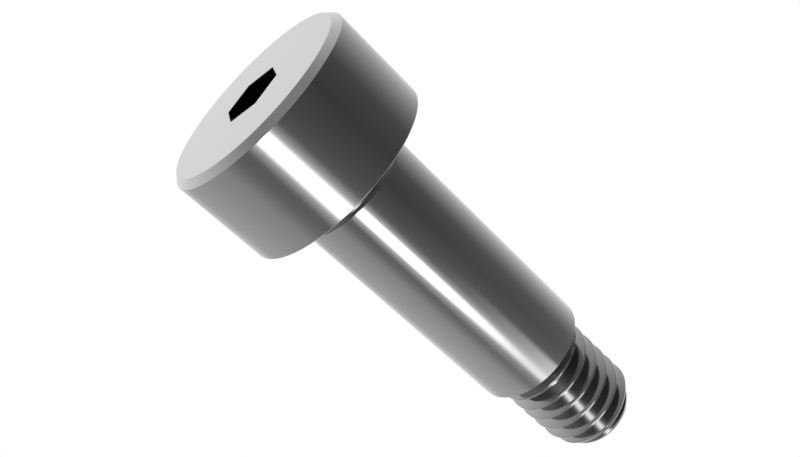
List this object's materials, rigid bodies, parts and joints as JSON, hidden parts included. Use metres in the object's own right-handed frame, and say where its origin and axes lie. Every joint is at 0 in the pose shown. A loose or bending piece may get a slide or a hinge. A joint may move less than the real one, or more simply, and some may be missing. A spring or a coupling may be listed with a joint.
{
  "type": "shoulder bolt",
  "caption": "Turned steel shoulder bolt: plain round head with a hexagon socket, a ground shoulder, and a smaller right-hand thread with a chamfered tip.",
  "frame": {"origin": "centre of the head's flat face, which the bolt stands on", "axes": "+Z along the bolt's axis, from the head towards the thread's tip; two corners of the hexagon socket lie on the Y axis"},
  "size_m": [0.0158, 0.0158, 0.0397],
  "materials": {
    "steel": "turned and ground bright steel, uncoated"
  },
  "bodies": {
    "root": {"shoulder_bolt": "steel"}
  },
  "joints": []
}
